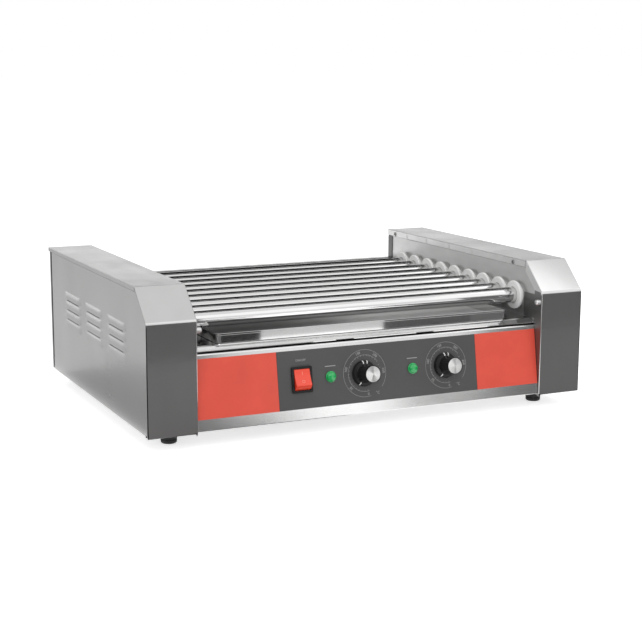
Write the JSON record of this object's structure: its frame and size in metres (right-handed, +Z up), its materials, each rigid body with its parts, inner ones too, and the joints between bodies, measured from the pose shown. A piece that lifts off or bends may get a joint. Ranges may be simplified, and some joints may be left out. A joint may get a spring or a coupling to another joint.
{
  "type": "hot dog roller grill",
  "caption": "Countertop roller grill with a row of heated steel rollers between two louvred end housings, over a pull-out drip tray and a sloped control panel.",
  "frame": {"origin": "centre of the bounding box's bottom face, on the table between the feet", "axes": "+X to the operator's right, along the rollers; +Y to the back, away from the operator; +Z up"},
  "size_m": [0.5824, 0.431, 0.185],
  "materials": {
    "brushed_steel": "brushed stainless sheet",
    "polished_steel": "polished stainless steel",
    "dull_steel": "plain steel, not in view",
    "white_plastic": "white heat-proof plastic",
    "red_film": "red printed film",
    "dark_film": "dark grey printed film",
    "red_plastic": "red switch plastic",
    "green_lens": "green lamp lens",
    "black_plastic": "black moulded plastic",
    "black_rubber": "black rubber"
  },
  "bodies": {
    "frame": {"base_pan": "brushed_steel", "rear_panel": "brushed_steel", "front_panel": "brushed_steel", "deck_plate": "brushed_steel", "left_bearing_plate": "brushed_steel", "left_side_panel": "brushed_steel", "left_top_cover": "brushed_steel", "left_front_cap": "brushed_steel", "right_bearing_plate": "brushed_steel", "right_side_panel": "brushed_steel", "right_top_cover": "brushed_steel", "right_front_cap": "brushed_steel", "drive_chain": "dull_steel", "gear_motor": "dull_steel", "heater_bank": "dull_steel", "left_thermostat": "dull_steel", "right_thermostat": "dull_steel", "left_bush_1": "white_plastic", "left_bush_2": "white_plastic", "left_bush_3": "white_plastic", "left_bush_4": "white_plastic", "left_bush_5": "white_plastic", "left_bush_6": "white_plastic", "left_bush_7": "white_plastic", "left_bush_8": "white_plastic", "left_bush_9": "white_plastic", "right_bush_1": "white_plastic", "right_bush_2": "white_plastic", "right_bush_3": "white_plastic", "right_bush_4": "white_plastic", "right_bush_5": "white_plastic", "right_bush_6": "white_plastic", "right_bush_7": "white_plastic", "right_bush_8": "white_plastic", "right_bush_9": "white_plastic", "accent_plate_left": "red_film", "accent_plate_right": "red_film", "control_plate": "dark_film", "left_lamp": "green_lens", "right_lamp": "green_lens", "switch_body": "black_plastic", "cable_gland": "black_plastic", "left_front_foot": "black_rubber", "left_rear_foot": "black_rubber", "right_front_foot": "black_rubber", "right_rear_foot": "black_rubber"},
    "roller_1": {"roller_1": "polished_steel"},
    "roller_2": {"roller_2": "polished_steel"},
    "roller_3": {"roller_3": "polished_steel"},
    "roller_4": {"roller_4": "polished_steel"},
    "roller_5": {"roller_5": "polished_steel"},
    "roller_6": {"roller_6": "polished_steel"},
    "roller_7": {"roller_7": "polished_steel"},
    "roller_8": {"roller_8": "polished_steel"},
    "roller_9": {"roller_9": "polished_steel"},
    "drive_sprocket": {"drive_sprocket": "dull_steel"},
    "switch_rocker": {"switch_rocker": "red_plastic"},
    "left_knob": {"left_knob": "black_plastic"},
    "right_knob": {"right_knob": "black_plastic"},
    "drip_tray": {"drip_tray": "polished_steel"}
  },
  "joints": [
    {"name": "roller_1_spin", "type": "hinge", "parent": "frame", "child": "roller_1", "pos_m": [0, -0.14077, 0.1392], "axis": [1, 0, 0], "continuous": true},
    {"name": "roller_2_spin", "type": "hinge", "parent": "frame", "child": "roller_2", "pos_m": [0, -0.10327, 0.1392], "axis": [1, 0, 0], "continuous": true},
    {"name": "roller_3_spin", "type": "hinge", "parent": "frame", "child": "roller_3", "pos_m": [0, -0.06577, 0.1392], "axis": [1, 0, 0], "continuous": true},
    {"name": "roller_4_spin", "type": "hinge", "parent": "frame", "child": "roller_4", "pos_m": [0, -0.02827, 0.1392], "axis": [1, 0, 0], "continuous": true},
    {"name": "roller_5_spin", "type": "hinge", "parent": "frame", "child": "roller_5", "pos_m": [0, 0.00923, 0.1392], "axis": [1, 0, 0], "continuous": true},
    {"name": "roller_6_spin", "type": "hinge", "parent": "frame", "child": "roller_6", "pos_m": [0, 0.04673, 0.1392], "axis": [1, 0, 0], "continuous": true},
    {"name": "roller_7_spin", "type": "hinge", "parent": "frame", "child": "roller_7", "pos_m": [0, 0.08423, 0.1392], "axis": [1, 0, 0], "continuous": true},
    {"name": "roller_8_spin", "type": "hinge", "parent": "frame", "child": "roller_8", "pos_m": [0, 0.12173, 0.1392], "axis": [1, 0, 0], "continuous": true},
    {"name": "roller_9_spin", "type": "hinge", "parent": "frame", "child": "roller_9", "pos_m": [0, 0.15923, 0.1392], "axis": [1, 0, 0], "continuous": true},
    {"name": "drive_spin", "type": "hinge", "parent": "frame", "child": "drive_sprocket", "pos_m": [-0.245, 0.02823, 0.07], "axis": [1, 0, 0], "continuous": true},
    {"name": "rocker_tilt", "type": "hinge", "parent": "frame", "child": "switch_rocker", "pos_m": [-0.0975, -0.18426, 0.06649], "axis": [1, 0, 0], "range_deg": [0, 32]},
    {"name": "left_knob_turn", "type": "hinge", "parent": "frame", "child": "left_knob", "pos_m": [-0.016, -0.18747, 0.067], "axis": [0, 0.9877, -0.1564], "range_deg": [0, 270]},
    {"name": "right_knob_turn", "type": "hinge", "parent": "frame", "child": "right_knob", "pos_m": [0.096, -0.18747, 0.067], "axis": [0, 0.9877, -0.1564], "range_deg": [0, 270]},
    {"name": "tray_slide", "type": "slide", "parent": "frame", "child": "drip_tray", "axis": [0, -1, 0], "range_m": [0, 0.3]}
  ],
  "couplings": [
    {"joint": "roller_2_spin", "follows": "roller_1_spin", "ratio": 1},
    {"joint": "roller_3_spin", "follows": "roller_1_spin", "ratio": 1},
    {"joint": "roller_4_spin", "follows": "roller_1_spin", "ratio": 1},
    {"joint": "roller_5_spin", "follows": "roller_1_spin", "ratio": 1},
    {"joint": "roller_6_spin", "follows": "roller_1_spin", "ratio": 1},
    {"joint": "roller_7_spin", "follows": "roller_1_spin", "ratio": 1},
    {"joint": "roller_8_spin", "follows": "roller_1_spin", "ratio": 1},
    {"joint": "roller_9_spin", "follows": "roller_1_spin", "ratio": 1},
    {"joint": "drive_spin", "follows": "roller_1_spin", "ratio": 0.75}
  ]
}
